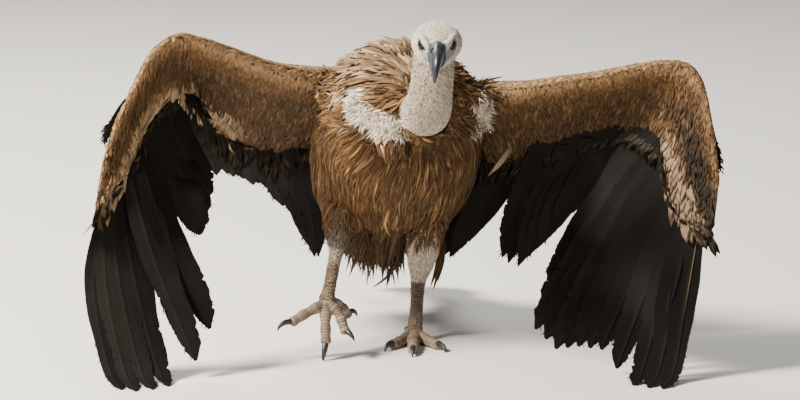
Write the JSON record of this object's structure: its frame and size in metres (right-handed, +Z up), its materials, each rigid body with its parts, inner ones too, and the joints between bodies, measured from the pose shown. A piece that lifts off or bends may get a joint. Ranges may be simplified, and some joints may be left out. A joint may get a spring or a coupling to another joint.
{
  "type": "griffon vulture",
  "caption": "Life-size griffon vulture in mid stride, head low, with its wings half spread and their tips resting on the floor",
  "frame": {"origin": "On the floor, under the middle of the model's bounding box.", "axes": "+Z is up. The bird walks towards -Y, its left side is +X, and its wings spread along X."},
  "size_m": [1.0618, 0.8882, 0.5998],
  "materials": {
    "body_feathers": "tawny brown contour feathers with pale shafts",
    "flight_feathers": "worn black-brown quills and vanes",
    "down_feathers": "cream-white down",
    "bill_horn": "slate grey horn with a soft gloss",
    "claw_horn": "black horn",
    "leg_scales": "grey-brown scaled skin",
    "eye_gloss": "dark amber eye, wet gloss"
  },
  "bodies": {
    "root": {"head": "down_feathers", "bill_upper": "bill_horn", "bill_lower": "bill_horn", "eye_left": "eye_gloss", "eye_right": "eye_gloss", "neck": "down_feathers", "ruff": "body_feathers", "trunk": "body_feathers", "tail_coverts": "body_feathers", "tail": "flight_feathers", "wing_right_upper_arm": "body_feathers", "wing_right_forearm": "body_feathers", "wing_right_hand": "body_feathers", "wing_right_primaries": "flight_feathers", "wing_right_secondaries": "flight_feathers", "wing_right_tertials": "flight_feathers", "wing_right_alula": "flight_feathers", "wing_left_upper_arm": "body_feathers", "wing_left_forearm": "body_feathers", "wing_left_hand": "body_feathers", "wing_left_primaries": "flight_feathers", "wing_left_secondaries": "flight_feathers", "wing_left_tertials": "flight_feathers", "wing_left_alula": "flight_feathers", "leg_right_thigh": "body_feathers", "leg_right_shank": "down_feathers", "leg_right_tarsus": "leg_scales", "toe_right_outer": "leg_scales", "toe_right_middle": "leg_scales", "toe_right_inner": "leg_scales", "toe_right_hind": "leg_scales", "claw_right_outer": "claw_horn", "claw_right_middle": "claw_horn", "claw_right_inner": "claw_horn", "claw_right_hind": "claw_horn", "leg_left_thigh": "body_feathers", "leg_left_shank": "down_feathers", "leg_left_tarsus": "leg_scales", "toe_left_outer": "leg_scales", "toe_left_middle": "leg_scales", "toe_left_inner": "leg_scales", "toe_left_hind": "leg_scales", "claw_left_outer": "claw_horn", "claw_left_middle": "claw_horn", "claw_left_inner": "claw_horn", "claw_left_hind": "claw_horn"}
  },
  "joints": []
}
